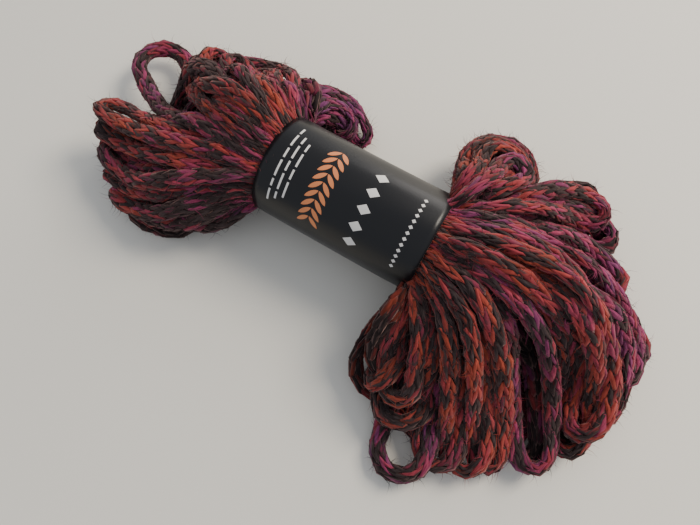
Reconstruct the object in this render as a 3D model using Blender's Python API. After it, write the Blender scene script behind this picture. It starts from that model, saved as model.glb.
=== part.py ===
"""A hank of bulky chain-knit yarn, gathered through a paper label band.

The band is a short tube lying along X.  From each of its mouths the yarn
fans out in loops that lie on the ground: the near end towards +X and the
far end towards -X.  The yarn is one solid of its loops and main twists.
"""
import math

import bmesh
import bpy
import numpy as np

# Driving sizes, in millimetres and degrees
MM = 0.001
BAND_WIDTH = 70.0           # along its axis
BAND_RADIUS = 20.8          # outside
BAND_WALL = 1.0
BAND_HEIGHT = 25.0          # of its axis above the ground
BAND_SIDES = 64
LAP_ARC = 34.0              # the strip's lapped ends, as an angle round the tube
LAP_STEP = 0.6              # how far the outer end stands proud
LAP_CLOCK = 262.0           # middle of the lap, on the underside
GAP = 0.4                   # kept between yarn and band

STRAND_RADIUS = 3.9         # a turn lying free
MOUTH_STRAND_RADIUS = 2.9   # a turn squeezed at the band's mouth
RELAX_LENGTH = 34.0         # from the mouth to where a turn is full again
MOUTH_RADIUS = 15.0         # of the outermost turns' centrelines at the mouth
NECK_RADIUS = 18.4          # of the packed yarn inside the band
STRAIGHT = 14.0             # length of each leg that runs on inside the band
SINK_LENGTH = 38.0          # from the mouth to where a buried turn has sunk
LOWEST = 2.8                # lowest centreline of a turn, pressed flat on the ground
TURN_SIDES = 8
VOXEL = 3.2
KEPT_FACES = 0.5           # share of the fused surface's triangles that is kept

YARN_COLOUR = (0.18, 0.055, 0.05)
YARN_ROUGHNESS = 0.95
BAND_COLOUR = (0.016, 0.016, 0.018)
BAND_ROUGHNESS = 0.35

# The loops that show, and how many buried turns lie below each one.
#   x, y, z    the loop's farthest point, on the turn's centreline
#   heading    the way it points, anticlockwise from +X
#   width      across the loop, between centrelines
#   roll       how far its left side is raised
#   sweep      how far both legs bow to the left
#   clock_a, clock_b   where its legs enter the mouth, from +Y over the top
#   bulge      how far the legs arch upwards
#   pull_out, pull_in  how stiffly the legs leave the mouth and meet the loop
COLUMNS = ("x", "y", "z", "heading", "width", "roll", "sweep",
           "clock_a", "clock_b", "bulge", "pull_out", "pull_in", "below")
NEAR_LOOPS = [
    (53, -65, 12, -70, 20, 10, 0, 195, 172, 6, 0.5, 0.9, 2),
    (50, -58, 20, -74, 10, 30, 0, 188, 165, 8, 0.5, 0.9, 2),
    (44, -55, 14, -74, 12, 60, 0, 200, 190, 4, 0.5, 0.9, 1),
    (67, -80, 5, -66, 22, 5, 0, 185, 150, 8, 0.5, 0.9, 0),
    (76, -70, 6, -62, 13, 10, 0, 165, 142, 14, 0.6, 1.0, 2),
    (87, -65, 6, -60, 12, 10, 0, 150, 130, 17, 0.6, 1.0, 3),
    (95, -60, 6, -60, 10, 10, 0, 135, 120, 19, 0.7, 1.0, 4),
    (107, -53, 6, -68, 16, 5, 0, 122, 108, 19, 0.8, 1.1, 4),
    (113, -42, 7, -94, 14, 20, 0, 112, 95, 20, 0.9, 1.2, 3),
    (113, -35, 14, -84, 10, 30, 0, 104, 85, 20, 0.9, 1.2, 2),
    (118, -25, 8, -90, 14, 20, 0, 96, 70, 16, 1.0, 1.3, 3),
    (121, -9, 10, -64, 14, 20, 0, 80, 58, 12, 1.0, 1.2, 3),
    (121, 13, 10, 16, 14, 20, 0, 62, 44, 8, 1.0, 0.9, 2),
    (126, 3, 8, -30, 10, 20, 0, 66, 50, 10, 1.0, 1.0, 1),
    (103, 44, 12, -20, 14, 10, 0, 48, 26, 6, 1.0, 1.0, 1),
    (84, 61, 8, 30, 12, 10, 0, 40, 10, 4, 0.9, 0.8, 1),
    (95, 50, 16, 10, 12, 20, 0, 44, 20, 8, 0.9, 0.8, 1),
    (36, 62, 16, 116, 32, 5, 0, 30, 350, 8, 0.45, 0.7, 1),
    (39, 50, 26, 116, 18, 10, 0, 36, 5, 10, 0.4, 0.7, 2),
    (46, 44, 32, 106, 10, 20, 0, 50, 20, 8, 0.4, 0.7, 2),
]
FAR_LOOPS = [
    (-126, 27, 10, 148, 22, 10, 0, 60, 112, 12, 0.9, 1.8, 0),
    (-116, -15, 26, 180, 14, 20, 4, 110, 130, 6, 0.9, 1.1, 2),
    (-115, -20, 19, 180, 13, 30, 5, 128, 145, 6, 0.9, 1.1, 1),
    (-115, -21, 10, 176, 12, 30, 5, 138, 155, 6, 0.9, 1.1, 1),
    (-108, -30, 15, 170, 14, 30, 6, 142, 165, 4, 1.0, 1.2, 1),
    (-104, -35, 10, 176, 12, 40, 7, 158, 172, 4, 1.0, 1.1, 1),
    (-97, -43, 8, 180, 12, 30, 9, 165, 180, 3, 1.0, 1.1, 1),
    (-86, -44, 6, 196, 12, 20, 9, 174, 210, 3, 1.0, 1.0, 1),
    (-70, -42, 5, 226, 12, 20, 8, 185, 225, 3, 1.0, 0.8, 0),
    (-86, -18, 18, 276, 14, 30, 0, 84, 104, 12, 0.8, 2.5, 2),
    (-76, -16, 22, 276, 11, 30, 0, 92, 110, 8, 0.7, 2.2, 2),
    (-68, -14, 26, 276, 8, 30, 0, 98, 112, 4, 0.6, 1.9, 2),
    (-96, 30, 20, 134, 12, 30, 0, 84, 104, 14, 0.4, 1.4, 2),
    (-90, 32, 24, 134, 12, 30, 0, 66, 84, 16, 0.4, 1.4, 2),
    (-82, 31, 24, 148, 11, 30, 0, 50, 68, 14, 0.4, 1.2, 2),
    (-82, 22, 28, 140, 11, 30, 0, 58, 92, 12, 0.4, 1.2, 2),
    (-83, 35, 16, 196, 9, 10, 0, 18, 40, 8, 0.9, 1.9, 0),
    (-69, 28, 22, 180, 11, 10, 0, 26, 50, 10, 0.8, 1.5, 3),
    (-16, 34, 6, -36, 9, 10, 0, 350, 12, 4, 1.2, 2.5, 0),
    (-24, 35, 8, -40, 9, 10, 0, 340, 5, 4, 0.9, 2.0, 1),
    (-31, 34, 8, -40, 9, 10, 0, 335, 355, 4, 0.8, 1.5, 1),
]


def polar(clock, radius):
    """A point's y and z on a circle round the band's axis."""
    angle = math.radians(clock)
    return radius * math.cos(angle), BAND_HEIGHT + radius * math.sin(angle)


def leg(start, end, leave, arrive, bow, bulge):
    """A smooth run from the mouth to the shoulder of a loop."""
    t = np.linspace(0.0, 1.0, 26)[:, None]
    run = ((2 * t**3 - 3 * t**2 + 1) * start + (t**3 - 2 * t**2 + t) * leave
           + (3 * t**2 - 2 * t**3) * end + (t**3 - t**2) * arrive)
    hump = np.sin(math.pi * t) ** 2
    run = run + bow * hump
    run[:, 2] += bulge * hump[:, 0]
    return run


def turn(row, side, depth):
    """The centreline of one turn; depth runs from 0 (on top) to 1 (on the ground)."""
    loop = dict(zip(COLUMNS, row))
    outward = np.array((side, 0.0, 0.0))
    angle = math.radians(loop["heading"] + 14 * depth)
    roll = math.radians(loop["roll"])
    forward = np.array((math.cos(angle), math.sin(angle), 0.0))
    left = np.array((-math.sin(angle), math.cos(angle), 0.0))
    across = math.cos(roll) * left + np.array((0.0, 0.0, math.sin(roll)))
    half = loop["width"] / 2
    tip = np.array((loop["x"], loop["y"], loop["z"]), float)
    centre = tip - forward * (half + 8 * depth)
    mouths = []
    for clock in (loop["clock_a"], loop["clock_b"]):
        y, z = polar(clock, MOUTH_RADIUS * (1 - 0.8 * depth))
        mouths.append(np.array((side * BAND_WIDTH / 2, y, z)))
    if (mouths[0] - mouths[1]) @ across < 0:
        mouths.reverse()
    legs = []
    for mouth, hand in zip(mouths, (1, -1)):
        shoulder = centre + hand * across * half
        reach = np.linalg.norm(shoulder - mouth)
        run = leg(mouth, shoulder, outward * reach * loop["pull_out"],
                  forward * reach * loop["pull_in"],
                  left * loop["sweep"], loop["bulge"])
        legs.append(np.vstack([mouth - outward * STRAIGHT, run]))
    bend = [centre + half * (math.cos(a) * across + math.sin(a) * forward)
            for a in np.linspace(0.0, math.pi, 10)[1:-1]]
    points = np.vstack([legs[0], bend, legs[1][::-1]])
    outside = np.clip((side * points[:, 0] - BAND_WIDTH / 2) / SINK_LENGTH, 0, 1)
    sunk = depth * outside**2 * (3 - 2 * outside)
    points[:, 2] -= (points[:, 2] - LOWEST) * sunk
    points[:, 2] = np.maximum(points[:, 2], LOWEST)
    return points


def all_turns():
    """Every turn of both ends, the buried ones stacked below the others."""
    turns = []
    for table, side in ((NEAR_LOOPS, 1), (FAR_LOOPS, -1)):
        for row in table:
            below = row[-1]
            for level in range(below + 1):
                turns.append(turn(row, side, level / max(below, 1)))
    return turns


def add_tube(bm, points, radii, sides):
    """A closed round tube along a list of points, added to a bmesh."""
    tangents = np.gradient(points, axis=0)
    tangents /= np.linalg.norm(tangents, axis=1)[:, None]
    normal = np.cross(tangents[0], (0.3, 0.2, 1.0))
    rings = []
    for point, tangent, radius in zip(points, tangents, radii):
        normal = normal - tangent * (normal @ tangent)
        normal /= np.linalg.norm(normal)
        other = np.cross(tangent, normal)
        ring = []
        for k in range(sides):
            a = 2 * math.pi * k / sides
            place = point + radius * (math.cos(a) * normal + math.sin(a) * other)
            ring.append(bm.verts.new(place * MM))
        rings.append(ring)
    for low, high in zip(rings, rings[1:]):
        for k in range(sides):
            n = (k + 1) % sides
            bm.faces.new((low[k], low[n], high[n], high[k]))
    bm.faces.new(rings[0][::-1])
    bm.faces.new(rings[-1])


def new_object(name, bm, colour, roughness):
    """An object with its own mesh and Principled material."""
    mesh = bpy.data.meshes.new(name)
    bm.to_mesh(mesh)
    bm.free()
    mesh.shade_smooth()
    material = bpy.data.materials.new(name)
    material.use_nodes = True
    shader = material.node_tree.nodes["Principled BSDF"]
    shader.inputs["Base Color"].default_value = (*colour, 1.0)
    shader.inputs["Roughness"].default_value = roughness
    shader.inputs["Metallic"].default_value = 0.0
    mesh.materials.append(material)
    obj = bpy.data.objects.new(name, mesh)
    bpy.context.collection.objects.link(obj)
    return obj


def loose_yarn():
    """All turns and the packed neck, as overlapping closed tubes."""
    bm = bmesh.new()
    for points in all_turns():
        beyond = np.abs(points[:, 0]) - BAND_WIDTH / 2
        steps = np.linalg.norm(np.diff(points, axis=0), axis=1)
        along = np.concatenate([[0.0], np.cumsum(steps)])
        from_mouth = np.minimum(along, along[-1] - along) - STRAIGHT
        ease = np.clip(from_mouth / RELAX_LENGTH, 0, 1)
        radii = MOUTH_STRAND_RADIUS + (STRAND_RADIUS - MOUTH_STRAND_RADIUS) * ease
        add_tube(bm, points, radii, TURN_SIDES)
    ends = np.array((-BAND_WIDTH / 2 - 2, BAND_WIDTH / 2 + 2))
    neck = np.array([(x, 0.0, BAND_HEIGHT) for x in np.linspace(*ends, 12)])
    add_tube(bm, neck, np.full(12, NECK_RADIUS), BAND_SIDES)
    return bm


def keep_outer_shell(bm):
    """Drop sealed hollows and crumbs, so that one closed body is left."""
    unseen = set(bm.verts)
    shells = []
    while unseen:
        shell = {unseen.pop()}
        edge = list(shell)
        while edge:
            vert = edge.pop()
            for link in vert.link_edges:
                other = link.other_vert(vert)
                if other not in shell:
                    shell.add(other)
                    edge.append(other)
        unseen -= shell
        shells.append(shell)
    largest = max(shells, key=len)
    extra = [vert for shell in shells if shell is not largest for vert in shell]
    bmesh.ops.delete(bm, geom=extra, context="VERTS")


def finished(obj):
    """The object's shape after its modifiers, as a bmesh; the object goes."""
    bm = bmesh.new()
    bm.from_object(obj, bpy.context.evaluated_depsgraph_get())
    bpy.data.objects.remove(obj)
    keep_outer_shell(bm)
    return bm


def fused_yarn():
    """The turns fused by a voxel remesh, and thinned out."""
    obj = new_object("turns", loose_yarn(), YARN_COLOUR, YARN_ROUGHNESS)
    remesh = obj.modifiers.new("fuse", "REMESH")
    remesh.mode = "VOXEL"
    remesh.voxel_size = VOXEL * MM
    smooth = obj.modifiers.new("soften", "SMOOTH")
    smooth.factor = 0.5
    smooth.iterations = 1
    thin = obj.modifiers.new("thin out", "DECIMATE")
    thin.ratio = KEPT_FACES
    return finished(obj)


def cut_flat(bm):
    """Cut away what would lie below the ground, leaving flat spots."""
    geometry = bm.verts[:] + bm.edges[:] + bm.faces[:]
    cut = bmesh.ops.bisect_plane(bm, geom=geometry, dist=1e-6, plane_co=(0, 0, 0),
                                 plane_no=(0, 0, -1), clear_outer=True)
    rim = [item for item in cut["geom_cut"] if isinstance(item, bmesh.types.BMEdge)]
    bmesh.ops.holes_fill(bm, edges=rim, sides=0)
    bmesh.ops.recalc_face_normals(bm, faces=bm.faces)


def band_profile(clearance):
    """Outer and inner radius round the band, with its lap on the underside."""
    rows = []
    for k in range(BAND_SIDES):
        clock = 360.0 * k / BAND_SIDES
        lapped = abs(clock - LAP_CLOCK) < LAP_ARC / 2
        outer = BAND_RADIUS + (LAP_STEP if lapped else 0.0) + clearance
        rows.append((clock, outer, BAND_RADIUS - BAND_WALL - clearance))
    return rows


def band_tube(clearance):
    """The band's strip as a closed tube, or its clearance space."""
    bm = bmesh.new()
    half = BAND_WIDTH / 2 + clearance
    loops = []
    for side, which in ((-half, 1), (half, 1), (half, 2), (-half, 2)):
        ring = []
        for row in band_profile(clearance):
            y, z = polar(row[0], row[which])
            ring.append(bm.verts.new((side * MM, y * MM, z * MM)))
        loops.append(ring)
    for k, ring in enumerate(loops):
        following = loops[(k + 1) % 4]
        for i in range(BAND_SIDES):
            n = (i + 1) % BAND_SIDES
            bm.faces.new((ring[i], following[i], following[n], ring[n]))
    bmesh.ops.recalc_face_normals(bm, faces=bm.faces)
    return bm


def make_band():
    """The label band, one paper strip lapped on the underside."""
    return new_object("band", band_tube(0.0), BAND_COLOUR, BAND_ROUGHNESS)


def make_hank():
    """The yarn: fused turns, flat where they rest, clear of the band."""
    bm = fused_yarn()
    cut_flat(bm)
    whole = new_object("whole", bm, YARN_COLOUR, YARN_ROUGHNESS)
    cutter = new_object("band_clearance", band_tube(GAP), BAND_COLOUR, BAND_ROUGHNESS)
    cutter.hide_render = True
    cutter.display_type = "WIRE"
    clear = whole.modifiers.new("clear of the band", "BOOLEAN")
    clear.operation = "DIFFERENCE"
    clear.object = cutter
    bm = finished(whole)
    bpy.data.objects.remove(cutter)
    return new_object("hank", bm, YARN_COLOUR, YARN_ROUGHNESS)


def centre_on_ground(hank, band):
    """Place both pieces so that the origin is below the middle of the hank."""
    corners = np.array([corner[:] for corner in hank.bound_box])
    middle = (corners.min(axis=0) + corners.max(axis=0)) / 2
    for obj in (hank, band):
        obj.location = (-middle[0], -middle[1], 0.0)


for old in list(bpy.data.objects):
    bpy.data.objects.remove(old)
centre_on_ground(make_hank(), make_band())
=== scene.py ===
"""A loose hank of bulky chain-knit yarn, gathered through a paper label band, on a pale floor."""

import math

import bmesh
import bpy
import numpy as np
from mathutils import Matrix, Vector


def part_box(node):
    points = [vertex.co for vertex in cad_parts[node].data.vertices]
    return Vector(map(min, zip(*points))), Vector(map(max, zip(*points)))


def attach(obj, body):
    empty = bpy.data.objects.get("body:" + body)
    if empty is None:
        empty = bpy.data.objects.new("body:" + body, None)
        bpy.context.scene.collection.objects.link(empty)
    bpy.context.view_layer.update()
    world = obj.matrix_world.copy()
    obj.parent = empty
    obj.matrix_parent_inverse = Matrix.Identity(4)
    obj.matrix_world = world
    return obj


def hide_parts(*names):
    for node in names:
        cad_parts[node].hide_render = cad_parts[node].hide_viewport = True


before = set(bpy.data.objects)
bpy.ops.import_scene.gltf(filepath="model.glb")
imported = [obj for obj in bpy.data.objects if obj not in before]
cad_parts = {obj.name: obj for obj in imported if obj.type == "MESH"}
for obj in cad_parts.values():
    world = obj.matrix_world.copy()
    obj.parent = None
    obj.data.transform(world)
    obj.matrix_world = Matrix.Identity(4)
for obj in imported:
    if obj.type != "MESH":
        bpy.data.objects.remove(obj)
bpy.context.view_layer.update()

# ---------------------------------------------------------------------------
# The winding: one long strand of bulky yarn, laid in loops like a butterfly
# and drawn together in the middle.  Both ends fan out and lie on the floor.
# Each row is a loop that shows; further turns lie hidden under most of them.
# ---------------------------------------------------------------------------
MM = 0.001
band_low, band_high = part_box("band")
BAND_HALF = (band_high.x - band_low.x) / 2 / MM
BAND_RADIUS = (band_high.y - band_low.y) / 2 / MM
BAND_HEIGHT = band_high.z / MM - BAND_RADIUS
BAND_MIDDLE = np.array((band_low.x + band_high.x, band_low.y + band_high.y, 0.0)) / 2

MOUTH_RADIUS = 16.5      # of the outermost turns where they leave the band
STRAIGHT = 14.0          # length of each leg that runs on inside the band
SINK_LENGTH = 38.0       # from the mouth to where a hidden turn has sunk
LOWEST = 2.8             # lowest centreline of a turn pressed on the floor
STRAND_WIDTH = 7.9       # of the yarn lying free
STRAND_DEPTH = 5.0
SQUEEZED = 0.62          # share of that width left inside the band
RELAX_LENGTH = 26.0      # from the mouth to where the yarn is full again
STEP = 4.0               # between the points that the loops settle with

#   x, y, z from the ground below the band's middle, to the loop's farthest point
#   heading anticlockwise from +X; width across; roll raises the left side
#   sweep bows the legs to the left; clocks say where they leave the band
#   bulge arches them upwards; pulls stiffen their start and end
#   below counts the turns under the loop; tone runs from coral 0 to violet 1
#   depth of colour runs from dark 0 to bright 1
COLUMNS = ("x", "y", "z", "heading", "width", "roll", "sweep", "clock_a", "clock_b",
           "bulge", "pull_out", "pull_in", "below", "tone", "bright")
NEAR_LOOPS = [
    (56, -64, 12, -70, 20, 10, 0, 195, 172, 6, 0.5, 0.9, 1, 0.10, 0.45),
    (53, -57, 20, -74, 13, 30, 0, 188, 165, 8, 0.5, 0.9, 1, 0.15, 0.40),
    (44, -55, 14, -74, 12, 60, 0, 200, 190, 4, 0.5, 0.9, 1, 0.05, 0.35),
    (67, -80, 5, -66, 22, 5, 0, 185, 150, 8, 0.5, 0.9, 0, 0.60, 0.42),
    (76, -70, 6, -62, 13, 10, 0, 165, 142, 14, 0.6, 1.0, 1, 0.25, 0.50),
    (87, -65, 6, -60, 12, 10, 0, 150, 130, 17, 0.6, 1.0, 2, 0.15, 0.50),
    (95, -60, 6, -60, 10, 10, 0, 135, 120, 19, 0.7, 1.0, 2, 0.20, 0.50),
    (107, -53, 6, -68, 16, 5, 0, 122, 108, 19, 0.8, 1.1, 2, 0.62, 0.50),
    (113, -42, 7, -94, 14, 20, 0, 112, 95, 20, 0.9, 1.2, 2, 0.24, 0.50),
    (113, -35, 14, -84, 13, 30, 0, 104, 85, 20, 0.9, 1.2, 1, 0.30, 0.60),
    (118, -25, 8, -90, 14, 20, 0, 96, 70, 16, 1.0, 1.3, 2, 0.58, 0.60),
    (121, -9, 10, -64, 14, 20, 0, 80, 58, 12, 1.0, 1.2, 2, 0.66, 0.62),
    (121, 13, 10, 16, 11, 20, 0, 62, 44, 8, 1.0, 0.9, 2, 0.80, 0.60),
    (126, 3, 8, -30, 10, 20, 0, 66, 50, 10, 1.0, 1.0, 1, 0.70, 0.75),
    (108, 27, 10, -16, 12, 20, 0, 56, 36, 8, 1.0, 1.0, 2, 0.65, 0.50),
    (98, 42, 12, -22, 11, 10, 0, 48, 26, 6, 1.0, 1.0, 2, 0.65, 0.55),
    (84, 61, 8, 30, 9, 10, 0, 40, 10, 4, 0.9, 0.8, 2, 0.60, 0.50),
    (90, 49, 16, 4, 10, 20, 0, 44, 20, 8, 0.9, 0.8, 2, 0.50, 0.55),
    (36, 62, 16, 116, 32, 5, 0, 30, 350, 8, 0.45, 0.7, 1, 0.35, 0.60),
    (37, 56, 22, 116, 25, 8, 0, 33, 357, 9, 0.42, 0.7, 1, 0.25, 0.50),
    (39, 50, 26, 116, 18, 10, 0, 36, 5, 10, 0.4, 0.7, 1, 0.30, 0.55),
    (43, 46, 22, 112, 9, 10, 0, 42, 12, 8, 0.4, 0.7, 1, 0.50, 0.45),
    (46, 44, 32, 106, 10, 20, 0, 50, 20, 8, 0.4, 0.7, 1, 0.65, 0.65),
]
FAR_LOOPS = [
    (-126, 27, 10, 148, 22, 10, 0, 60, 112, 12, 0.9, 1.8, 0, 0.62, 0.47),
    (-116, -15, 26, 180, 8, 20, 4, 110, 130, 6, 0.9, 1.1, 1, 0.32, 0.57),
    (-115, -20, 19, 180, 11, 30, 5, 128, 145, 6, 0.9, 1.1, 1, 0.27, 0.57),
    (-115, -21, 10, 176, 12, 30, 5, 138, 155, 6, 0.9, 1.1, 1, 0.42, 0.47),
    (-108, -29, 15, 170, 10, 30, 6, 142, 165, 4, 1.0, 1.2, 1, 0.47, 0.42),
    (-104, -33, 10, 176, 9, 40, 7, 158, 172, 4, 1.0, 1.1, 1, 0.42, 0.47),
    (-97, -40, 8, 180, 9, 30, 9, 165, 180, 3, 1.0, 1.1, 1, 0.52, 0.37),
    (-86, -40, 6, 196, 10, 20, 9, 174, 210, 3, 1.0, 1.0, 1, 0.57, 0.37),
    (-70, -38, 5, 226, 11, 20, 8, 185, 225, 3, 1.0, 0.8, 0, 0.67, 0.32),
    (-86, -18, 18, 276, 14, 30, 0, 84, 104, 12, 0.8, 2.5, 1, 0.37, 0.24),
    (-76, -16, 22, 276, 11, 30, 0, 92, 110, 8, 0.7, 2.2, 1, 0.27, 0.19),
    (-68, -14, 26, 276, 8, 30, 0, 98, 112, 4, 0.6, 1.9, 1, 0.17, 0.24),
    (-96, 30, 20, 134, 12, 30, 0, 84, 104, 14, 0.4, 1.4, 1, 0.32, 0.47),
    (-90, 32, 24, 134, 12, 30, 0, 66, 84, 16, 0.4, 1.4, 1, 0.27, 0.57),
    (-82, 31, 24, 148, 11, 30, 0, 50, 68, 14, 0.4, 1.2, 1, 0.37, 0.57),
    (-82, 22, 28, 140, 11, 30, 0, 58, 92, 12, 0.4, 1.2, 1, 0.42, 0.57),
    (-83, 35, 16, 196, 9, 10, 0, 18, 40, 8, 0.9, 1.9, 0, 0.52, 0.47),
    (-69, 28, 22, 180, 11, 10, 0, 26, 50, 10, 0.8, 1.5, 2, 0.62, 0.57),
    (-16, 34, 6, -36, 9, 10, 0, 350, 12, 4, 1.2, 2.5, 0, 0.82, 0.52),
    (-24, 35, 8, -40, 9, 10, 0, 340, 5, 4, 0.9, 2.0, 1, 0.82, 0.52),
    (-31, 34, 8, -40, 9, 10, 0, 335, 355, 4, 0.8, 1.5, 1, 0.77, 0.42),
]


def leg(start, end, leave, arrive, bow, bulge):
    """A smooth run from the band's mouth to the shoulder of a loop."""
    t = np.linspace(0.0, 1.0, 26)[:, None]
    run = ((2 * t**3 - 3 * t**2 + 1) * start + (t**3 - 2 * t**2 + t) * leave
           + (3 * t**2 - 2 * t**3) * end + (t**3 - t**2) * arrive)
    hump = np.sin(math.pi * t) ** 2
    run = run + bow * hump
    run[:, 2] += bulge * hump[:, 0]
    return run


def turn(loop, side, depth):
    """The centreline of one turn; depth runs from 0 (on top) to 1 (on the floor)."""
    outward = np.array((side, 0.0, 0.0))
    angle = math.radians(loop["heading"] + 14 * depth)
    roll = math.radians(loop["roll"])
    forward = np.array((math.cos(angle), math.sin(angle), 0.0))
    left = np.array((-math.sin(angle), math.cos(angle), 0.0))
    across = math.cos(roll) * left + np.array((0.0, 0.0, math.sin(roll)))
    half = loop["width"] / 2
    tip = np.array((loop["x"], loop["y"], loop["z"]), float)
    centre = tip - forward * (half + 8 * depth)
    mouths = []
    for clock in (loop["clock_a"], loop["clock_b"]):
        a = math.radians(clock)
        r = MOUTH_RADIUS * (1 - 0.8 * depth)
        mouths.append(np.array((side * BAND_HALF, r * math.cos(a),
                                BAND_HEIGHT + r * math.sin(a))))
    if (mouths[0] - mouths[1]) @ across < 0:
        mouths.reverse()
    legs = []
    for mouth, hand in zip(mouths, (1, -1)):
        shoulder = centre + hand * across * half
        reach = np.linalg.norm(shoulder - mouth)
        run = leg(mouth, shoulder, outward * reach * loop["pull_out"],
                  forward * reach * loop["pull_in"],
                  left * loop["sweep"], loop["bulge"])
        legs.append(np.vstack([mouth - outward * STRAIGHT, run]))
    bend = [centre + half * (math.cos(a) * across + math.sin(a) * forward)
            for a in np.linspace(0.0, math.pi, 10)[1:-1]]
    points = np.vstack([legs[0], bend, legs[1][::-1]])
    outside = np.clip((side * points[:, 0] - BAND_HALF) / SINK_LENGTH, 0, 1)
    sunk = depth * outside**2 * (3 - 2 * outside)
    points[:, 2] -= (points[:, 2] - LOWEST) * sunk
    points[:, 2] = np.maximum(points[:, 2], LOWEST)
    return points


def evenly(points, step, *values):
    """Points and values along a line again, a fixed distance apart."""
    runs = np.linalg.norm(np.diff(points, axis=0), axis=1)
    along = np.concatenate([[0.0], np.cumsum(runs)])
    places = np.linspace(0.0, along[-1], max(3, round(along[-1] / step) + 1))
    columns = [np.column_stack([np.interp(places, along, c) for c in np.atleast_2d(v.T)])
               for v in (points, *values)]
    return columns


def softened(values, rounds):
    """Values along a line, each blended with its neighbours."""
    for _ in range(rounds):
        inner = (values[:-2] + 2 * values[1:-1] + values[2:]) / 4
        values = np.vstack([values[:1], inner, values[-1:]])
    return values


turns = []
for table, side, end in ((NEAR_LOOPS, 1, "near"), (FAR_LOOPS, -1, "far")):
    for number, row in enumerate(table):
        loop = dict(zip(COLUMNS, row))
        for level in range(loop["below"] + 1):
            depth = level / max(loop["below"], 1)
            line = evenly(turn(loop, side, depth), STEP)[0]
            turns.append({"line": line, "end": end, "number": number, "level": level,
                          "tone": loop["tone"], "bright": loop["bright"]})

# The loops settle on each other: wherever two turns cross or lie too close
# they push each other apart, and nothing goes through the floor or the paper.
SETTLE_ROUNDS = 60
ROUNDS_PER_SEARCH = 6    # before the close pairs are looked for again
CLOSE = 9.5              # reach of that search
PACKING = 0.93           # share of the mean thickness that turns keep apart
PUSH = 0.45              # share of an overlap taken away in one round
LONGEST_MOVE = 1.2
HOLD = 0.985             # share of its shift that a turn in sight keeps
HIDDEN_YIELD = 1.0
SHOWN_YIELD = 0.3


def squeeze(line):
    """Share of the yarn's full width along a turn, small near the band."""
    steps = np.linalg.norm(np.diff(line, axis=0), axis=1)
    along = np.concatenate([[0.0], np.cumsum(steps)])
    from_mouth = np.minimum(along, along[-1] - along) - STRAIGHT
    ease = np.clip(from_mouth / RELAX_LENGTH, 0, 1)
    return SQUEEZED + (1 - SQUEEZED) * ease * (2 - ease)


places = np.vstack([t["line"] for t in turns])
owner = np.concatenate([np.full(len(t["line"]), k) for k, t in enumerate(turns)])
order = np.concatenate([np.arange(len(t["line"])) for t in turns])
count = np.concatenate([np.full(len(t["line"]), len(t["line"])) for t in turns])
share = np.concatenate([squeeze(t["line"]) for t in turns])
yields = np.concatenate([np.full(len(t["line"]), HIDDEN_YIELD if t["level"] else SHOWN_YIELD)
                         for t in turns])
neck = np.minimum(order, count - 1 - order) * STEP < STRAIGHT + 6
room = share * (STRAND_WIDTH + STRAND_DEPTH) / 2 * PACKING
start = places.copy()


def close_pairs(points, reach):
    """Index pairs of points on different stretches that lie within reach."""
    pairs = []
    squares = (points**2).sum(axis=1)
    for low in range(0, len(points), 1000):
        rows = slice(low, low + 1000)
        gaps = squares[rows, None] + squares[None] - 2 * points[rows] @ points.T
        a, b = np.nonzero(gaps < reach**2)
        a = a + low
        apart = (owner[a] != owner[b]) | (np.abs(order[a] - order[b]) > 4)
        keep = (a < b) & apart
        pairs.append(np.stack([a[keep], b[keep]]))
    return np.hstack(pairs)


for step in range(SETTLE_ROUNDS):
    if step % ROUNDS_PER_SEARCH == 0:
        first, second = close_pairs(places, CLOSE)
    line = places[first] - places[second]
    gap = np.linalg.norm(line, axis=1) + 1e-6
    lack = np.maximum((room[first] + room[second]) / 2 - gap, 0)
    push = line / gap[:, None] * (lack * PUSH / (yields[first] + yields[second]))[:, None]
    moves = np.zeros_like(places)
    for axis in range(3):
        moves[:, axis] += np.bincount(first, push[:, axis] * yields[first], len(places))
        moves[:, axis] -= np.bincount(second, push[:, axis] * yields[second], len(places))
    length = np.linalg.norm(moves, axis=1)
    moves *= (np.minimum(length, LONGEST_MOVE) / (length + 1e-9))[:, None]
    offset = places + moves - start
    for k, t in enumerate(turns):
        mine = owner == k
        offset[mine] = softened(offset[mine], 1)
    offset *= np.where(yields == SHOWN_YIELD, HOLD, 1.0)[:, None]
    places = start + offset
    places[:, 2] = np.maximum(places[:, 2], share * STRAND_DEPTH * 0.55)
    across = places[:, 1:] - (0, BAND_HEIGHT)
    radius = np.linalg.norm(across, axis=1) + 1e-6
    inside = neck & (np.abs(places[:, 0]) < BAND_HALF + 3)
    limit = BAND_RADIUS - 1.4 - share * STRAND_DEPTH * 0.55
    scale = np.where(inside & (radius > limit), limit / radius, 1.0)
    beside = ~neck & (np.abs(places[:, 0]) < BAND_HALF + 2)
    clear = BAND_RADIUS + 1.0 + share * STRAND_DEPTH * 0.6
    scale = np.where(beside & (radius < clear), clear / radius, scale)
    places[:, 1:] = (0, BAND_HEIGHT) + across * scale[:, None]

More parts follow.
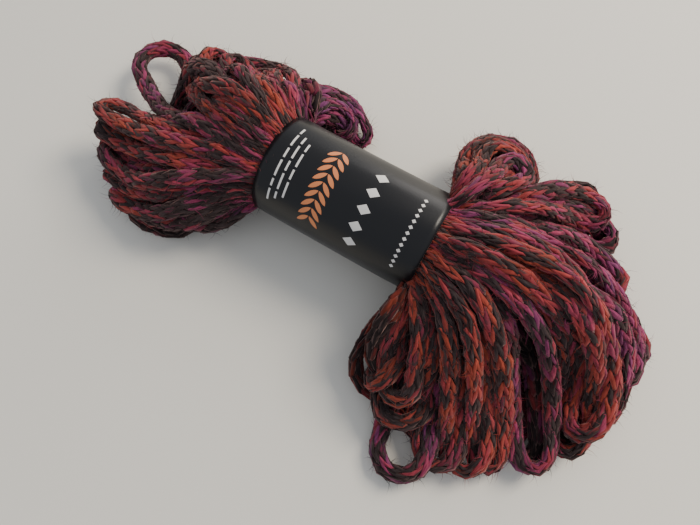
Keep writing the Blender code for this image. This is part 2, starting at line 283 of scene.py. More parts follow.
# The yarn lies with its flat side towards the outside of the heap, and turns
# slowly along its length.
TWIST_LENGTH = 85.0
TWIST_ANGLE = 0.6
NEIGHBOURHOOD = 16.0
UPWARD = 0.5             # how much more the yarn lies flat side up
FINE_STEP = 2.0          # between the points of the finished centrelines
first, second = close_pairs(places, NEIGHBOURHOOD)
outward = np.zeros_like(places)
for axis in range(3):
    delta = places[first, axis] - places[second, axis]
    outward[:, axis] += np.bincount(first, delta, len(places))
    outward[:, axis] -= np.bincount(second, delta, len(places))
outward /= np.linalg.norm(outward, axis=1)[:, None] + 1e-6
outward[:, 2] += UPWARD
for k, t in enumerate(turns):
    mine = owner == k
    line, girth, lie = evenly(places[mine], FINE_STEP, share[mine][:, None],
                              softened(outward[mine], 6))
    line = softened(line, 3)
    along = np.gradient(line, axis=0)
    along /= np.linalg.norm(along, axis=1)[:, None]
    lie -= along * (lie * along).sum(axis=1)[:, None]
    lie /= np.linalg.norm(lie, axis=1)[:, None] + 1e-6
    across = np.cross(along, lie)
    reach = np.arange(len(line)) * FINE_STEP
    wander = TWIST_ANGLE * np.sin(2 * math.pi * (reach / TWIST_LENGTH + 0.618 * k))
    t["lie"] = lie * np.cos(wander)[:, None] + across * np.sin(wander)[:, None]
    t["girth"] = girth[:, 0] * (1 + 0.06 * np.sin(reach / 9 + 2.4 * k))
    t["line"] = line * MM + BAND_MIDDLE

# ---------------------------------------------------------------------------
# The yarn: a bulky chain-knit tube of brushed wool blend.  Its knitted legs
# lean left and right by turns, and each is spun either of a bright fibre,
# coral to violet, or of a brown-black one.
# ---------------------------------------------------------------------------


def linear(code):
    """An sRGB hex colour as linear red, green, blue and alpha."""
    parts = [int(code[i:i + 2], 16) / 255 for i in (1, 3, 5)]
    return (*(p / 12.92 if p <= 0.04045 else ((p + 0.055) / 1.055) ** 2.4 for p in parts), 1.0)


def add_node(tree, kind, inputs=(), out=0, **settings):
    """Add a node with its settings, input values and links, and give one of its outputs.

    The kind may end in the node's operation, as in "ShaderNodeMath ADD".
    """
    kind, _, operation = kind.partition(" ")
    new = tree.nodes.new(kind)
    if operation:
        new.operation = operation
    for name, value in settings.items():
        setattr(new, name, value)
    values = inputs if isinstance(inputs, dict) else dict(enumerate(inputs))
    for key, value in values.items():
        if isinstance(value, bpy.types.NodeSocket):
            tree.links.new(value, new.inputs[key])
        else:
            new.inputs[key].default_value = value
    return new.outputs[out] if len(new.outputs) else None


def new_material(name):
    """A material without nodes as yet, and its tree."""
    material = bpy.data.materials.new(name)
    material.use_nodes = True
    material.node_tree.nodes.clear()
    return material, material.node_tree


def add_surface(tree, inputs):
    """Finish a material with one shader that has the given inputs."""
    shader = add_node(tree, "ShaderNodeBsdfPrincipled", inputs)
    add_node(tree, "ShaderNodeOutputMaterial", (shader,))


def marled_wool(name, painted_shade_factor):
    """Brushed wool blend; the second argument darkens the whole colour, painted shade for turns that
    lie deep in the heap.
    """
    fibres_per_metre = (230, 1700, 900)    # along a leg, round the yarn, leg to leg
    dye_per_metre = 38.0                   # patches of one shade
    dye_swing = 0.9
    run_swing = 0.8                        # of the bright share, patch to patch
    run_offset = -0.46
    leg_scatter = 0.5                      # of the shade, leg to leg
    leg_shuffle = 7.13                     # makes a leg's shade unlike its ply
    ply_mixing = 1.5                       # of both plies within one leg
    ply_edge = 0.14
    dye_stops = ((0.0, "#9c4333"), (0.35, "#993a40"), (0.6, "#953b5c"), (1.0, "#743b68"))
    material, tree = new_material(name)
    tone = add_node(tree, "ShaderNodeAttribute", out="Fac", attribute_name="tone")
    bright = add_node(tree, "ShaderNodeAttribute", out="Fac", attribute_name="bright")
    spun = add_node(tree, "ShaderNodeAttribute", out="Fac", attribute_name="spun")
    fibre = add_node(tree, "ShaderNodeAttribute", out="Vector", attribute_name="fibre")
    # Fine streaks of loose fibre run along each leg, half a millimetre apart
    stretch = add_node(tree, "ShaderNodeVectorMath MULTIPLY", (fibre, fibres_per_metre))
    streak = add_node(tree, "ShaderNodeTexNoise",
                      {"Vector": stretch, "Scale": 1.0, "Detail": 3.0, "Roughness": 0.6}, "Fac")
    # The dye, and the share of the bright ply, drift slowly along the yarn
    place = add_node(tree, "ShaderNodeTexCoord", out="Object")
    drift = add_node(tree, "ShaderNodeTexNoise",
                     {"Vector": place, "Scale": dye_per_metre, "Detail": 1.0}, "Color")
    drift = add_node(tree, "ShaderNodeSeparateColor", (drift,)).node.outputs
    swing = add_node(tree, "ShaderNodeMath MULTIPLY_ADD", (drift[0], dye_swing, -dye_swing / 2))
    runs = add_node(tree, "ShaderNodeMath MULTIPLY_ADD", (drift[1], run_swing, run_offset))
    bright = add_node(tree, "ShaderNodeMath ADD", (bright, runs))
    # Each leg also draws its own shade of the dye
    scatter = add_node(tree, "ShaderNodeMath MULTIPLY", (spun, leg_shuffle))
    scatter = add_node(tree, "ShaderNodeMath FRACT", (scatter,))
    scatter = add_node(tree, "ShaderNodeMath MULTIPLY_ADD", (scatter, leg_scatter, -leg_scatter / 2))
    swing = add_node(tree, "ShaderNodeMath ADD", (swing, scatter))
    hue = add_node(tree, "ShaderNodeMath ADD", (tone, swing))
    dye = add_node(tree, "ShaderNodeValToRGB", (hue,))
    ramp = dye.node.color_ramp
    while len(ramp.elements) < len(dye_stops):
        ramp.elements.new(0.5)
    for element, (where, code) in zip(ramp.elements, dye_stops):
        element.position = where
        element.color = linear(code)
    # A leg takes the bright ply when its draw is under the strand's share
    mixing = add_node(tree, "ShaderNodeMath MULTIPLY_ADD", (streak, ply_mixing, -ply_mixing / 2))
    draw = add_node(tree, "ShaderNodeMath ADD", (spun, mixing))
    low = add_node(tree, "ShaderNodeMath SUBTRACT", (bright, ply_edge))
    high = add_node(tree, "ShaderNodeMath ADD", (bright, ply_edge))
    dark_share = add_node(tree, "ShaderNodeMapRange",
                          {"Value": draw, "From Min": low, "From Max": high}, "Result")
    dark = add_node(tree, "ShaderNodeMix",
                    {0: streak, 6: linear("#140f10"), 7: linear("#453a3a")}, 2, data_type="RGBA")
    colour = add_node(tree, "ShaderNodeMix", {0: dark_share, 6: dye, 7: dark}, 2, data_type="RGBA")
    # Streaks vary the brightness along the fibre; the whole range is scaled down by the painted
    # shade factor
    shade = add_node(tree, "ShaderNodeMapRange",
                     {"Value": streak, "From Min": 0.3, "From Max": 0.7,
                      "To Min": 0.38 * painted_shade_factor, "To Max": 1.24 * painted_shade_factor}, "Result")
    shaded = add_node(tree, "ShaderNodeVectorMath SCALE", {0: colour, "Scale": shade})
    bump = add_node(tree, "ShaderNodeBump", {"Height": streak, "Strength": 0.6, "Distance": 0.0004})
    add_surface(tree, {"Base Color": shaded, "Roughness": 0.95, "Normal": bump,
                       "Specular IOR Level": 0.15, "Sheen Weight": 0.3,
                       "Sheen Roughness": 0.45, "Sheen Tint": linear("#e8b9b0")})
    return material


def new_node_group(name, sockets):
    """A geometry node tree with named inputs, and the sockets that bring them in."""
    tree = bpy.data.node_groups.new(name, "GeometryNodeTree")
    tree.interface.new_socket("Geometry", in_out="INPUT", socket_type="NodeSocketGeometry")
    for label, kind, value in sockets:
        socket = tree.interface.new_socket(label, in_out="INPUT", socket_type="NodeSocket" + kind)
        if value is not None:
            socket.default_value = value
    tree.interface.new_socket("Geometry", in_out="OUTPUT", socket_type="NodeSocketGeometry")
    return tree, add_node(tree, "NodeGroupInput").node.outputs


def knit_tree():
    """Geometry nodes that lay knitted legs round a strand's centreline."""
    sleeve_number = 50       # in place of a leg's column number
    unevenness = 0.0026      # widest wander of a leg, in metres
    lumps_per_metre = 230.0
    floor_clearance = 0.0003
    tree, given = new_node_group("chain knit", (
        ("Pitch", "Float", 0.006), ("Columns", "Int", 12),
        ("Leg Length", "Float", 0.0102), ("Leg Width", "Float", 0.0017),
        ("Leg Depth", "Float", 0.0017), ("Lean", "Float", 0.16),
        ("Half Width", "Float", 0.0031), ("Half Depth", "Float", 0.0018),
        ("Leg Sides", "Int", 5), ("Leg Rings", "Int", 4),
        ("Seed", "Int", 3), ("Material", "Material", None)))
    reach = add_node(tree, "GeometryNodeInputNamedAttribute", {"Name": "reach"}, "Attribute",
                     data_type="FLOAT")
    strand = add_node(tree, "GeometryNodeInputNamedAttribute", {"Name": "strand"}, "Attribute",
                      data_type="INT")
    column = add_node(tree, "GeometryNodeInputNamedAttribute", {"Name": "column"}, "Attribute",
                      data_type="INT")
    # The centrelines, and a point on them for each course of stitches
    marked = add_node(tree, "GeometryNodeMeshToCurve", {"Mesh": given["Geometry"]}, "Curve")
    length = add_node(tree, "GeometryNodeSplineParameter", out="Length")
    which = add_node(tree, "GeometryNodeCurveOfPoint", out="Curve Index")
    for name, kind, value in (("reach", "FLOAT", length), ("strand", "INT", which)):
        marked = add_node(tree, "GeometryNodeStoreNamedAttribute",
                          {"Geometry": marked, "Name": name, "Value": value}, data_type=kind)
    courses = add_node(tree, "GeometryNodeCurveToPoints",
                       {"Curve": marked, "Length": given["Pitch"]}, "Points", mode="LENGTH")
    # One leg, and a flat row of them that lean left and right by turns
    leg_mesh = add_node(tree, "GeometryNodeMeshUVSphere",
                        {"Segments": given["Leg Sides"], "Rings": given["Leg Rings"],
                         "Radius": 0.5}, "Mesh")
    leg_mesh = add_node(tree, "GeometryNodeTransform",
                        {"Geometry": leg_mesh, "Rotation": (0, math.pi / 2, 0)})
    size = add_node(tree, "ShaderNodeCombineXYZ",
                    (given["Leg Length"], given["Leg Width"], given["Leg Depth"]))
    leg_mesh = add_node(tree, "GeometryNodeTransform", {"Geometry": leg_mesh, "Scale": size})
    both_halves = add_node(tree, "ShaderNodeMath ADD", (given["Half Width"], given["Half Depth"]))
    around = add_node(tree, "ShaderNodeMath MULTIPLY", (both_halves, math.pi))
    spacing = add_node(tree, "ShaderNodeMath DIVIDE", (around, given["Columns"]))
    spacing = add_node(tree, "ShaderNodeCombineXYZ", {1: spacing})
    row = add_node(tree, "GeometryNodeMeshLine", {"Count": given["Columns"], "Offset": spacing},
                   "Mesh", mode="OFFSET")
    index = add_node(tree, "GeometryNodeInputIndex")
    parity = add_node(tree, "ShaderNodeMath MODULO", (index, 2.0))
    hand = add_node(tree, "ShaderNodeMath MULTIPLY_ADD", (parity, 2.0, -1.0))
    lean = add_node(tree, "ShaderNodeMath MULTIPLY", (hand, given["Lean"]))
    lean = add_node(tree, "ShaderNodeCombineXYZ", {2: lean})
    row = add_node(tree, "GeometryNodeStoreNamedAttribute",
                   {"Geometry": row, "Name": "column", "Value": index}, data_type="INT")
    legs = add_node(tree, "GeometryNodeInstanceOnPoints",
                    {"Points": row, "Instance": leg_mesh, "Rotation": lean})
    legs = add_node(tree, "GeometryNodeRealizeInstances", {"Geometry": legs})
    # A sleeve closes the tube behind the legs
    sleeve = add_node(tree, "GeometryNodeMeshGrid",
                      {"Size X": given["Pitch"], "Size Y": around, "Vertices X": 2,
                       "Vertices Y": 9}, "Mesh")
    half_way = add_node(tree, "ShaderNodeMath MULTIPLY", (around, 0.5))
    behind = add_node(tree, "ShaderNodeMath MULTIPLY", (given["Leg Depth"], -0.2))
    sunk = add_node(tree, "ShaderNodeCombineXYZ", {1: half_way, 2: behind})
    sleeve = add_node(tree, "GeometryNodeTransform", {"Geometry": sleeve, "Translation": sunk})
    sleeve = add_node(tree, "GeometryNodeStoreNamedAttribute",
                      {"Geometry": sleeve, "Name": "column", "Value": sleeve_number},
                      data_type="INT")
    course = add_node(tree, "GeometryNodeJoinGeometry", (legs,))
    tree.links.new(sleeve, course.node.inputs[0])
    position = add_node(tree, "GeometryNodeInputPosition")
    course = add_node(tree, "GeometryNodeStoreNamedAttribute",
                      {"Geometry": course, "Name": "flat", "Value": position},
                      data_type="FLOAT_VECTOR")
    # All courses, then each point is bent from the flat row to its place
    bent = add_node(tree, "GeometryNodeInstanceOnPoints", {"Points": courses, "Instance": course})
    bent = add_node(tree, "GeometryNodeRealizeInstances", {"Geometry": bent})
    flat = add_node(tree, "GeometryNodeInputNamedAttribute", {"Name": "flat"}, "Attribute",
                    data_type="FLOAT_VECTOR")
    flat = add_node(tree, "ShaderNodeSeparateXYZ", (flat,)).node.outputs
    place = add_node(tree, "ShaderNodeMath ADD", (reach, flat[0]))
    found = {}
    for name, kind in (("lie", "FLOAT_VECTOR"), ("girth", "FLOAT"), ("tone", "FLOAT"),
                       ("bright", "FLOAT")):
        value = add_node(tree, "GeometryNodeInputNamedAttribute", {"Name": name}, "Attribute",
                         data_type=kind)
        found[name] = add_node(tree, "GeometryNodeSampleCurve",
                               {"Curves": marked, "Value": value, "Length": place,
                                "Curve Index": strand}, "Value", data_type=kind, mode="LENGTH")
    line = found["lie"].node.outputs
    side = add_node(tree, "ShaderNodeVectorMath CROSS_PRODUCT", (line["Tangent"], found["lie"]))
    side = add_node(tree, "ShaderNodeVectorMath NORMALIZE", (side,))
    up = add_node(tree, "ShaderNodeVectorMath CROSS_PRODUCT", (side, line["Tangent"]))
    clock = add_node(tree, "ShaderNodeMath DIVIDE", (flat[1], around))
    clock = add_node(tree, "ShaderNodeMath MULTIPLY", (clock, 2 * math.pi))
    target = None
    for way, circle, half in ((side, "COSINE", "Half Width"), (up, "SINE", "Half Depth")):
        swing = add_node(tree, "ShaderNodeMath " + circle, (clock,))
        radius = add_node(tree, "ShaderNodeMath ADD", (given[half], flat[2]))
        out_by = add_node(tree, "ShaderNodeMath MULTIPLY", (swing, radius))
        out_by = add_node(tree, "ShaderNodeMath MULTIPLY", (out_by, found["girth"]))
        shift = add_node(tree, "ShaderNodeVectorMath SCALE", {0: way, "Scale": out_by})
        if target is not None:
            shift = add_node(tree, "ShaderNodeVectorMath ADD", (target, shift))
        target = shift
    target = add_node(tree, "ShaderNodeVectorMath ADD", (line["Position"], target))
    # Each leg draws a number for its ply; the sleeve is always dark: the dark ply's colour, put
    # there as painted shade in the gaps between the legs
    number = add_node(tree, "ShaderNodeMath DIVIDE", (reach, given["Pitch"]))
    number = add_node(tree, "ShaderNodeMath FLOOR", (number,))
    number = add_node(tree, "ShaderNodeMath MULTIPLY", (number, 64.0))
    number = add_node(tree, "ShaderNodeMath ADD", (number, column))
    strand_number = add_node(tree, "ShaderNodeMath MULTIPLY", (strand, 8192.0))
    number = add_node(tree, "ShaderNodeMath ADD", (number, strand_number))
    draw = add_node(tree, "FunctionNodeRandomValue", {7: number, 8: given["Seed"]}, 1)
    fibre = add_node(tree, "ShaderNodeCombineXYZ", (place, flat[1], draw))
    is_sleeve = add_node(tree, "ShaderNodeMath GREATER_THAN", (column, sleeve_number - 10.0))
    spun = add_node(tree, "ShaderNodeMath MAXIMUM", (draw, is_sleeve))
    for name, kind, value in (("spun", "FLOAT", spun), ("tone", "FLOAT", found["tone"]),
                              ("bright", "FLOAT", found["bright"]),
                              ("fibre", "FLOAT_VECTOR", fibre)):
        bent = add_node(tree, "GeometryNodeStoreNamedAttribute",
                        {"Geometry": bent, "Name": name, "Value": value}, data_type=kind)
    # Brushed yarn is uneven: some legs stand out, others sink or wander
    uneven = add_node(tree, "ShaderNodeTexNoise",
                      {"Vector": target, "Scale": lumps_per_metre, "Detail": 1.0}, "Color")
    uneven = add_node(tree, "ShaderNodeVectorMath SUBTRACT", (uneven, (0.5, 0.5, 0.5)))
    uneven = add_node(tree, "ShaderNodeVectorMath SCALE", {0: uneven, "Scale": unevenness})
    target = add_node(tree, "ShaderNodeVectorMath ADD", (target, uneven))
    # Where the yarn lies on the floor its underside is pressed flat
    target = add_node(tree, "ShaderNodeVectorMath MAXIMUM", (target, (-1.0, -1.0, floor_clearance)))
    bent = add_node(tree, "GeometryNodeSetPosition", {"Geometry": bent, "Position": target})
    bent = add_node(tree, "GeometryNodeSetShadeSmooth", {"Geometry": bent})
    bent = add_node(tree, "GeometryNodeSetMaterial",
                    {"Geometry": bent, "Material": given["Material"]})
    add_node(tree, "NodeGroupOutput", (bent,))
    return tree


def plain_mesh(name, source, tree, values):
    """A node tree run on an object, kept as a plain mesh piece; the source goes."""
    modifier = source.modifiers.new("make", "NODES")
    modifier.node_group = tree
    for item in tree.interface.items_tree:
        if item.in_out == "INPUT" and item.name in values:
            modifier[item.identifier] = values[item.name]
    depsgraph = bpy.context.evaluated_depsgraph_get()
    mesh = bpy.data.meshes.new_from_object(source.evaluated_get(depsgraph))
    old = source.data
    bpy.data.objects.remove(source)
    bpy.data.meshes.remove(old)
    mesh.name = name
    piece = bpy.data.objects.new(name, mesh)
    bpy.context.scene.collection.objects.link(piece)
    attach(piece, "root")
    return piece


def centrelines(name, chosen):
    """The chosen turns as one mesh of edges, with what the knit needs to know."""
    lines = [t["line"] for t in chosen]
    mesh = bpy.data.meshes.new(name)
    edges = []
    base = 0
    for line in lines:
        edges += [(base + i, base + i + 1) for i in range(len(line) - 1)]
        base += len(line)
    mesh.from_pydata(np.vstack(lines).tolist(), edges, [])
    lie = mesh.attributes.new("lie", "FLOAT_VECTOR", "POINT")
    lie.data.foreach_set("vector", np.vstack([t["lie"] for t in chosen]).ravel())
    for key in ("girth", "tone", "bright"):
        values = np.concatenate([np.broadcast_to(t[key], len(t["line"])) for t in chosen])
        mesh.attributes.new(key, "FLOAT", "POINT").data.foreach_set("value", values)
    source = bpy.data.objects.new(name, mesh)
    bpy.context.scene.collection.objects.link(source)
    return source


def halo_tree():
    """Geometry nodes that raise thin, curved fibres from a surface."""
    tip_radius = 0.00001
    outward_share = 0.35     # of the surface's own direction in a fibre's way
    floor_clearance = 0.0002
    tree, given = new_node_group("fibre halo", (
        ("Density", "Float", 28000.0), ("Length", "Float", 0.0045),
        ("Thickness", "Float", 0.00012), ("Curl", "Float", 120.0),
        ("Band Middle", "Vector", (0.0, 0.0, 0.0)),
        ("Band Reach", "Vector", (0.0345, 0.022, 0.022)),
        ("Seed", "Int", 5), ("Material", "Material", None)))
    # No fibre starts inside the band, where the paper holds them down
    position = add_node(tree, "GeometryNodeInputPosition")
    from_band = add_node(tree, "ShaderNodeVectorMath SUBTRACT", (position, given["Band Middle"]))
    from_band = add_node(tree, "ShaderNodeVectorMath DIVIDE", (from_band, given["Band Reach"]))
    beside = add_node(tree, "ShaderNodeSeparateXYZ", (from_band,))
    beside = add_node(tree, "ShaderNodeMath ABSOLUTE", (beside,))
    above = add_node(tree, "ShaderNodeVectorMath MULTIPLY", (from_band, (0, 1, 1)))
    above = add_node(tree, "ShaderNodeVectorMath LENGTH", (above,), "Value")
    farther = add_node(tree, "ShaderNodeMath MAXIMUM", (beside, above))
    free = add_node(tree, "ShaderNodeMath GREATER_THAN", (farther, 1.0))
    points = add_node(tree, "GeometryNodeDistributePointsOnFaces",
                      {"Mesh": given["Geometry"], "Density": given["Density"], "Selection": free,
                       "Seed": given["Seed"]}, "Points")
    normal = points.node.outputs["Normal"]
    stray = add_node(tree, "FunctionNodeRandomValue",
                     {0: (-1.0, -1.0, -1.0), 1: (1.0, 1.0, 1.0), 8: given["Seed"]},
                     data_type="FLOAT_VECTOR")
    way = add_node(tree, "ShaderNodeVectorMath SCALE", {0: normal, "Scale": outward_share})
    way = add_node(tree, "ShaderNodeVectorMath ADD", (way, stray))
    way = add_node(tree, "ShaderNodeVectorMath NORMALIZE", (way,))
    for name, value in (("seat", position), ("way", way), ("stray", stray)):
        points = add_node(tree, "GeometryNodeStoreNamedAttribute",
                          {"Geometry": points, "Name": name, "Value": value},
                          data_type="FLOAT_VECTOR")
    hair = add_node(tree, "GeometryNodeMeshCone",
                    {"Vertices": 3, "Side Segments": 2, "Radius Top": tip_radius,
                     "Radius Bottom": given["Thickness"], "Depth": given["Length"]}, "Mesh")
    hair = add_node(tree, "GeometryNodeStoreNamedAttribute",
                    {"Geometry": hair, "Name": "flat", "Value": position},
                    data_type="FLOAT_VECTOR")
    hairs = add_node(tree, "GeometryNodeInstanceOnPoints", {"Points": points, "Instance": hair})
    hairs = add_node(tree, "GeometryNodeRealizeInstances", {"Geometry": hairs})
    # Each hair is turned and curled from upright to its own way
    kept = {}
    for name in ("flat", "seat", "way", "stray"):
        kept[name] = add_node(tree, "GeometryNodeInputNamedAttribute", {"Name": name}, "Attribute",
                              data_type="FLOAT_VECTOR")
    flat = add_node(tree, "ShaderNodeSeparateXYZ", (kept["flat"],)).node.outputs
    sag = add_node(tree, "ShaderNodeMath MULTIPLY", (flat[2], flat[2]))
    sag = add_node(tree, "ShaderNodeMath MULTIPLY", (sag, given["Curl"]))
    aslant = add_node(tree, "ShaderNodeVectorMath ADD", (kept["stray"], (0.3, 0.1, 0.7)))
    side = add_node(tree, "ShaderNodeVectorMath CROSS_PRODUCT", (kept["way"], aslant))
    side = add_node(tree, "ShaderNodeVectorMath NORMALIZE", (side,))
    other = add_node(tree, "ShaderNodeVectorMath CROSS_PRODUCT", (kept["way"], side))
    target = kept["seat"]
    for axis, by in ((kept["way"], flat[2]), (side, sag), (side, flat[0]), (other, flat[1])):
        shift = add_node(tree, "ShaderNodeVectorMath SCALE", {0: axis, "Scale": by})
        target = add_node(tree, "ShaderNodeVectorMath ADD", (target, shift))
    target = add_node(tree, "ShaderNodeVectorMath MAXIMUM", (target, (-1.0, -1.0, floor_clearance)))
    hairs = add_node(tree, "GeometryNodeSetPosition", {"Geometry": hairs, "Position": target})
    hairs = add_node(tree, "GeometryNodeSetMaterial",
                     {"Geometry": hairs, "Material": given["Material"]})
    add_node(tree, "NodeGroupOutput", (hairs,))
    return tree


chain_knit = knit_tree()
fibre_halo = halo_tree()
wool = marled_wool("brushed marled wool blend", 1.0)
shown = [t for t in turns if t["level"] == 0]
groups = (("near_loops_front", "near", 0, 5), ("near_loops_middle", "near", 5, 10),
          ("near_loops_outer", "near", 10, 16), ("near_loops_back", "near", 16, 23),
          ("far_loops_low", "far", 0, 7), ("far_loops_arched", "far", 7, 14),
          ("far_loops_back", "far", 14, 21))
loop_pieces = []
for name, end, first_loop, last_loop in groups:
    chosen = [t for t in shown if t["end"] == end and first_loop <= t["number"] < last_loop]
    source = centrelines(name, chosen)
    loop_pieces.append(plain_mesh(name, source, chain_knit, {"Material": wool}))
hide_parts("hank")
band_centre = tuple(BAND_MIDDLE + np.array((0.0, 0.0, BAND_HEIGHT * MM)))
for number, piece in enumerate(loop_pieces):
    name = piece.name + "_halo"
    source = bpy.data.objects.new(name, piece.data.copy())
    bpy.context.scene.collection.objects.link(source)
    plain_mesh(name, source, fibre_halo,
               {"Material": wool, "Seed": number, "Band Middle": band_centre})

# ---------------------------------------------------------------------------
# The hidden turns: the same yarn, deeper in the heap, where only glimpses of
# it show between the loops.  Its stitches are drawn coarser, and its colour is halved: painted
# shade.
# ---------------------------------------------------------------------------
# Painted shade: this wool's colour is halved for the turns that lie deep in the heap
painted_shade_wool = marled_wool("brushed marled wool blend, in shade", 0.5)
for end in ("near", "far"):
    name = end + "_loops_hidden"
    source = centrelines(name, [t for t in turns if t["level"] and t["end"] == end])
    coarse = {"Material": painted_shade_wool, "Columns": 6, "Leg Width": 0.0031, "Leg Sides": 4,
              "Leg Rings": 3, "Seed": 11}
    plain_mesh(name, source, chain_knit, coarse)

# ---------------------------------------------------------------------------
# The label band: one strip of black coated paper, wrapped once round the
# middle and lapped on the underside.
# ---------------------------------------------------------------------------
PAPER = 0.3              # thickness of the strip
LAP_FROM = -115.0        # clock of its inner end, in degrees
LAP_TO = 279.0           # and of its outer end, lying over the inner one
LAP_ARC = 34.0
LAP_STEP = 0.5


def on_band(along, clock, lift):
    """A point on the paper's outer face, from its place along and round the band."""
    a = math.radians(clock)
    eased = min(max((clock - LAP_FROM - LAP_ARC) / 20, 0.0), 1.0)
    tucked = LAP_STEP * (1 - eased * eased * (3 - 2 * eased))
    ripple = 0.16 * math.sin(5 * a + 0.8) + 0.07 * math.sin(11 * a + along / 16)
    flare = 0.25 * (along / BAND_HALF) ** 4 * math.sin(3 * a + 1)
    r = BAND_RADIUS - 0.1 + ripple + flare - tucked + lift
    place = np.array((along, r * math.cos(a), BAND_HEIGHT + r * math.sin(a)))
    return place * MM + BAND_MIDDLE


paper, tree = new_material("satin coated black paper")
place = add_node(tree, "ShaderNodeTexCoord", out="Object")
grain = add_node(tree, "ShaderNodeTexNoise", {"Vector": place, "Scale": 900.0, "Detail": 2.0}, "Fac")
bump = add_node(tree, "ShaderNodeBump", {"Height": grain, "Strength": 0.12, "Distance": 0.0002})
add_surface(tree, {"Base Color": linear("#131315"), "Roughness": 0.36, "Specular IOR Level": 0.3,
                   "Coat Weight": 0.08, "Coat Roughness": 0.2, "Normal": bump})
cut_paper, tree = new_material("cut edge of the paper")
add_surface(tree, {"Base Color": linear("#8f8a84"), "Roughness": 0.8})

rows = np.linspace(-BAND_HALF, BAND_HALF, 31)
clocks = np.linspace(LAP_FROM, LAP_TO, 221)
vertices = [on_band(along, clock, lift)
            for lift in (0.0, -PAPER) for along in rows for clock in clocks]
inner = len(rows) * len(clocks)
faces = []
for i in range(len(rows) - 1):
    for j in range(len(clocks) - 1):
        corner = i * len(clocks) + j
        quad = (corner, corner + 1, corner + len(clocks) + 1, corner + len(clocks))
        faces.append(quad)
        faces.append(tuple(inner + v for v in reversed(quad)))
cut_from = len(faces)
for i in (0, len(rows) - 1):
    for j in range(len(clocks) - 1):
        corner = i * len(clocks) + j
        faces.append((corner, corner + 1, inner + corner + 1, inner + corner))
for j in (0, len(clocks) - 1):
    for i in range(len(rows) - 1):
        corner = i * len(clocks) + j
        faces.append((corner, corner + len(clocks), inner + corner + len(clocks), inner + corner))
strip = bpy.data.meshes.new("label_band")
strip.from_pydata([tuple(v) for v in vertices], [], faces)
strip.materials.append(paper)
strip.materials.append(cut_paper)
for face in strip.polygons:
    face.use_smooth = face.index < cut_from
    face.material_index = int(face.index >= cut_from)


def set_outward(mesh):
    """Turn all faces of a closed mesh outwards."""
    work = bmesh.new()
    work.from_mesh(mesh)
    bmesh.ops.recalc_face_normals(work, faces=work.faces)
    work.to_mesh(mesh)
    work.free()


set_outward(strip)
label_band = bpy.data.objects.new("label_band", strip)
bpy.context.scene.collection.objects.link(label_band)
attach(label_band, "root")
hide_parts("band")

# ---------------------------------------------------------------------------
# The print: rows of plain knit-like motifs round the band, white and orange
# ink, very slightly raised.
# ---------------------------------------------------------------------------
PRINT_CLOCK = 112.0      # the middle of each row, in degrees
INK_LIFT = 0.06


def printed(name, code, strokes):
    """Thin closed slabs of ink; a stroke lists place along, place round and width."""
    material, tree = new_material(name + " ink")
    add_surface(tree, {"Base Color": linear(code), "Roughness": 0.5})
    vertices = []
    faces = []
    for stroke in strokes:
        base = len(vertices)
        path = np.array(stroke, float)
        way = np.gradient(path[:, :2], axis=0)
        way /= np.linalg.norm(way, axis=1)[:, None]
        aside = np.column_stack([-way[:, 1], way[:, 0]]) * path[:, 2:] / 2
        for (u, v), (du, dv) in zip(path[:, :2], aside):
            for hand, lift in ((-1, -0.1), (1, -0.1), (1, INK_LIFT), (-1, INK_LIFT)):
                clock = PRINT_CLOCK - math.degrees((v + hand * dv) / BAND_RADIUS)
                vertices.append(tuple(on_band(u + hand * du, clock, lift)))
        for k in range(len(path) - 1):
            ring = base + 4 * k
            for c in range(4):
                d = (c + 1) % 4
                faces.append((ring + c, ring + d, ring + 4 + d, ring + 4 + c))
        last = base + 4 * (len(path) - 1)
        faces.append((base + 3, base + 2, base + 1, base))
        faces.append((last, last + 1, last + 2, last + 3))
    mesh = bpy.data.meshes.new(name)
    mesh.from_pydata(vertices, [], faces)
    mesh.materials.append(material)
    set_outward(mesh)
    piece = bpy.data.objects.new(name, mesh)
    bpy.context.scene.collection.objects.link(piece)
    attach(piece, "root")


def dash(along, start, end, width):
    """A straight stroke round the band."""
    stations = np.linspace(start, end, max(3, round((end - start) / 0.8) + 1))
    return [(along, v, width) for v in stations]


def lozenge(along, middle, height, length):
    """A diamond, higher along the band than it is long round it."""
    stations = np.linspace(-length / 2, length / 2, 9)
    return [(along, middle + v, 0.1 + height * (1 - abs(v) / (length / 2))) for v in stations]


def leaf(u0, v0, u1, v1, width):
    """A tapered stroke, like one leg of a knitted stitch."""
    return [(u0 + (u1 - u0) * t, v0 + (v1 - v0) * t, 0.15 + width * math.sin(math.pi * t) ** 0.7)
            for t in np.linspace(0, 1, 9)]


white = []
for row, along in enumerate((-28.0, -25.0, -22.0)):
    reach = -15.0 + 2 * row
    for length in (5.0, 3.0, 6.5, 4.0, 5.5, 3.5)[row:]:
        white.append(dash(along, reach, reach + length, 0.8))
        reach += length + 1.2
for k in range(5):
    white.append(lozenge(8.0, (k - 2) * 7.0, 5.6, 4.2))
for k in range(13):
    white.append(lozenge(26.0, (k - 6) * 2.4, 1.7, 1.5))
orange = []
for k in range(9):
    middle = (k - 4) * 3.6
    orange.append(leaf(-14.4, middle - 2.3, -10.2, middle + 1.7, 1.7))
    orange.append(leaf(-5.6, middle - 2.3, -9.8, middle + 1.7, 1.7))
printed("white_motifs", "#d8d5d0", white)
printed("orange_motifs", "#d47f4c", orange)

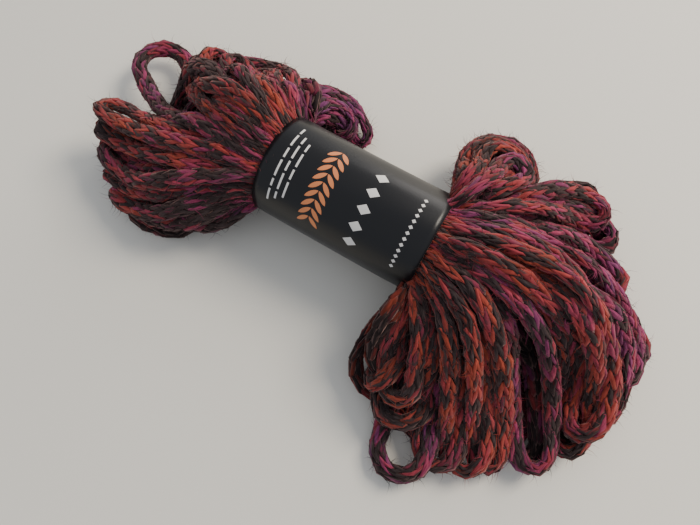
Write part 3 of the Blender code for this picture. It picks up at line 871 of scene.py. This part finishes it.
# ---------------------------------------------------------------------------
# The floor, light and camera: a plain pale board under the hank, soft
# daylight from high at the back right, and a paler low light behind it that
# shines along the paper.  The hank only lies on the board.
# ---------------------------------------------------------------------------
FLOOR = 3.0
corners = [(-FLOOR, -FLOOR, 0), (FLOOR, -FLOOR, 0), (FLOOR, FLOOR, 0), (-FLOOR, FLOOR, 0)]
floor_mesh = bpy.data.meshes.new("floor")
floor_mesh.from_pydata(corners, [], [(0, 1, 2, 3)])
floor = bpy.data.objects.new("floor", floor_mesh)
bpy.context.scene.collection.objects.link(floor)
pale, tree = new_material("pale painted board")
add_surface(tree, {"Base Color": linear("#e0dcd1"), "Roughness": 0.8})
floor_mesh.materials.append(pale)

world = bpy.data.worlds.new("soft room")
bpy.context.scene.world = world
world.use_nodes = True
world.node_tree.nodes["Background"].inputs["Color"].default_value = linear("#dfe5f0")
world.node_tree.nodes["Background"].inputs["Strength"].default_value = 0.78


def soft_light(name, place, size, power, colour):
    """A square area light aimed at the hank."""
    data = bpy.data.lights.new(name, "AREA")
    data.size = size
    data.energy = power
    data.color = linear(colour)[:3]
    lamp = bpy.data.objects.new(name, data)
    lamp.location = place
    aim = -lamp.location
    lamp.rotation_euler = aim.to_track_quat("-Z", "Y").to_euler()
    bpy.context.scene.collection.objects.link(lamp)


soft_light("window", (0.55, 0.75, 0.9), 0.5, 17.0, "#fff4e4")
soft_light("low window", (0.15, 1.3, 0.4), 0.8, 8.0, "#fff8f0")

# The camera looks down on the hank from the front right, 72 degrees above
# the floor, with a 28 mm lens.
camera_data = bpy.data.cameras.new("camera")
camera_data.lens = 28
camera_data.sensor_width = 36
camera_data.clip_start = 0.01
camera = bpy.data.objects.new("camera", camera_data)
CAMERA_PLACE = (43.8, -78.2, 225.0)
CAMERA_TURN = 30.5
CAMERA_TILT = 18.0
camera.location = BAND_MIDDLE + np.array(CAMERA_PLACE) * MM
camera.rotation_euler = (math.radians(CAMERA_TILT), 0.0, math.radians(CAMERA_TURN))
bpy.context.scene.collection.objects.link(camera)
bpy.context.scene.camera = camera
